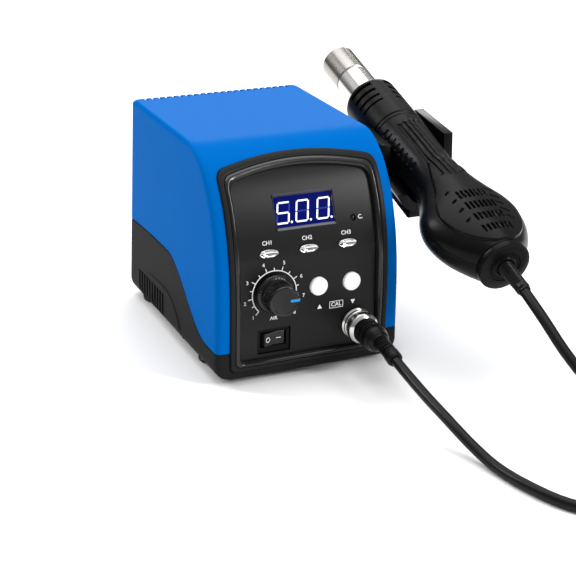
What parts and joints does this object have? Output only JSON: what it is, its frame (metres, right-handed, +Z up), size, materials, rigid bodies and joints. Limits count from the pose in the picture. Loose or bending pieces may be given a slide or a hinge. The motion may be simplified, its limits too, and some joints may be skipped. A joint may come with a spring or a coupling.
{
  "type": "hot air rework station",
  "caption": "Desk hot air station with a display, air knob and preset buttons, and a corded blower handpiece lying in a holder on its right side.",
  "frame": {"origin": "on the bench, in the middle of the footprint of everything that isn't on the cord", "axes": "+X to the right as seen from the front panel, +Y from the front panel to the back, +Z up"},
  "size_m": [0.2537, 0.3567, 0.1438],
  "materials": {
    "cover_blue": "satin blue moulding",
    "tray_black": "fine texture",
    "panel_grey": "satin dark grey",
    "black_plastic": "satin",
    "soft_rubber": "matt",
    "display_filter": "clear tinted filter",
    "white_plastic": "smooth",
    "silver_plastic": "plated caps",
    "pointer_blue": "paint",
    "bright_nickel": "bright nickel",
    "polished_steel": "polished",
    "zinc_steel": "zinc plated",
    "ceramic": "ceramic former",
    "board": "circuit board",
    "copper": "enamelled wire",
    "brass": "plated",
    "aluminium": "extruded",
    "dark_lens": "unlit lens",
    "grey_plastic": "moulded"
  },
  "bodies": {
    "station": {"top_cover": "cover_blue", "base_tray": "tray_black", "foot_1": "soft_rubber", "foot_2": "soft_rubber", "foot_3": "soft_rubber", "foot_4": "soft_rubber", "tray_screw_1": "zinc_steel", "tray_screw_2": "zinc_steel", "tray_screw_3": "zinc_steel", "tray_screw_4": "zinc_steel", "front_bezel": "tray_black", "front_panel": "panel_grey", "display_window": "display_filter", "display_module": "grey_plastic", "indicator_led": "dark_lens", "air_potentiometer": "grey_plastic", "power_switch_housing": "black_plastic", "connector_socket": "bright_nickel", "plug_boot": "soft_rubber", "control_board": "board", "main_board": "board", "transformer_core": "zinc_steel", "transformer_winding": "copper", "heatsink": "aluminium", "power_triac": "black_plastic", "mains_inlet": "black_plastic", "inlet_pin_line": "brass", "inlet_pin_neutral": "brass", "inlet_pin_earth": "brass", "holder_cradle": "black_plastic", "holder_magnet": "zinc_steel", "holder_bracket": "black_plastic", "holder_screw_1": "zinc_steel", "holder_screw_2": "zinc_steel", "cable_front_run": "soft_rubber", "cable_rear_run": "soft_rubber", "cable_coil": "soft_rubber", "cable_tie": "black_plastic"},
    "handpiece": {"heater_tube": "polished_steel", "heater_element": "ceramic", "vent_sleeve": "black_plastic", "handle_upper_shell": "black_plastic", "handle_lower_shell": "black_plastic", "handle_screw_1": "zinc_steel", "handle_screw_2": "zinc_steel", "handle_end_cap": "black_plastic", "handle_strain_relief": "soft_rubber", "blower_frame": "grey_plastic"},
    "fan": {"fan_rotor": "grey_plastic"},
    "channel_1": {"channel_1_button": "silver_plastic"},
    "channel_2": {"channel_2_button": "silver_plastic"},
    "channel_3": {"channel_3_button": "silver_plastic"},
    "up": {"up_button": "white_plastic"},
    "down": {"down_button": "white_plastic"},
    "knob": {"air_knob": "black_plastic", "knob_pointer": "pointer_blue", "pot_shaft": "zinc_steel"},
    "rocker": {"power_rocker": "black_plastic"},
    "plug_nut": {"plug_ring": "bright_nickel"}
  },
  "joints": [
    {"name": "handpiece_lift", "type": "slide", "parent": "station", "child": "handpiece", "axis": [0, -0.2924, 0.9563], "range_m": [0, 0.12]},
    {"name": "fan_spin", "type": "hinge", "parent": "handpiece", "child": "fan", "pos_m": [0.05672, -0.06394, 0.07955], "axis": [0, -0.2924, 0.9563], "continuous": true},
    {"name": "channel_1_press", "type": "slide", "parent": "station", "child": "channel_1", "axis": [0, 0.9822, -0.1879], "range_m": [0, 0.0008], "stiffness_N_per_m": 400},
    {"name": "channel_2_press", "type": "slide", "parent": "station", "child": "channel_2", "axis": [0, 0.9822, -0.1879], "range_m": [0, 0.0008], "stiffness_N_per_m": 400},
    {"name": "channel_3_press", "type": "slide", "parent": "station", "child": "channel_3", "axis": [0, 0.9822, -0.1879], "range_m": [0, 0.0008], "stiffness_N_per_m": 400},
    {"name": "up_press", "type": "slide", "parent": "station", "child": "up", "axis": [0, 0.9994, -0.0332], "range_m": [0, 0.0008], "stiffness_N_per_m": 400},
    {"name": "down_press", "type": "slide", "parent": "station", "child": "down", "axis": [0, 0.9994, -0.0332], "range_m": [0, 0.0008], "stiffness_N_per_m": 400},
    {"name": "air_knob_turn", "type": "hinge", "parent": "station", "child": "knob", "pos_m": [-0.05188, -0.03892, 0.05015], "axis": [0, -0.9995, 0.0326], "range_deg": [-46, 225]},
    {"name": "power_rock", "type": "hinge", "parent": "station", "child": "rocker", "pos_m": [-0.05178, -0.03483, 0.0233], "axis": [0, 0, -1], "range_deg": [0, 18]},
    {"name": "plug_nut_turn", "type": "hinge", "parent": "station", "child": "plug_nut", "pos_m": [-0.00178, -0.03903, 0.025], "axis": [0, -1, 0], "continuous": true}
  ]
}
